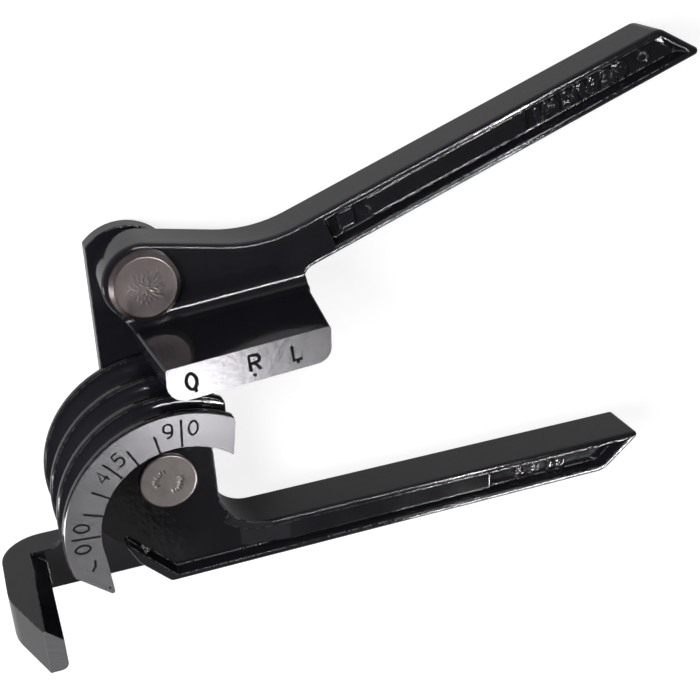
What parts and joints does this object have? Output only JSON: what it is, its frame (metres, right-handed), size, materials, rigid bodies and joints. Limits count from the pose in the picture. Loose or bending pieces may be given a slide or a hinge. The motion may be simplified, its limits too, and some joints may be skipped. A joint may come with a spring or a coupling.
{
  "type": "tube bender",
  "caption": "Compact lever tube bender: grooved former with angle scale, hook and handle, linked to a lever whose grooved shoe wraps the tube.",
  "frame": {"origin": "on the main pin's axis, the centre of the bend, level with the back of the hook's arm", "axes": "+X along the lower handle to its free end, +Z along the pins towards the scale"},
  "size_m": [0.1625, 0.1057, 0.0372],
  "materials": {
    "casting": "gloss black paint on die-cast aluminium, with bare machined scale and shoe faces",
    "link": "gloss black paint on steel plate",
    "pin": "plain steel, peened at the ends"
  },
  "bodies": {
    "base": {"lower_casting": "casting", "main_pin": "pin"},
    "link": {"link_plate": "link", "upper_pin": "pin"},
    "lever": {"lever": "casting"}
  },
  "joints": [
    {"name": "link_swing", "type": "hinge", "parent": "base", "child": "link", "pos_m": [0, 0, 0.0037], "axis": [0, 0, 1], "range_deg": [-25, 100]},
    {"name": "lever_swing", "type": "hinge", "parent": "link", "child": "lever", "pos_m": [0.00106, 0.04341, 0.0115], "axis": [0, 0, 1], "range_deg": [-10, 130]}
  ]
}
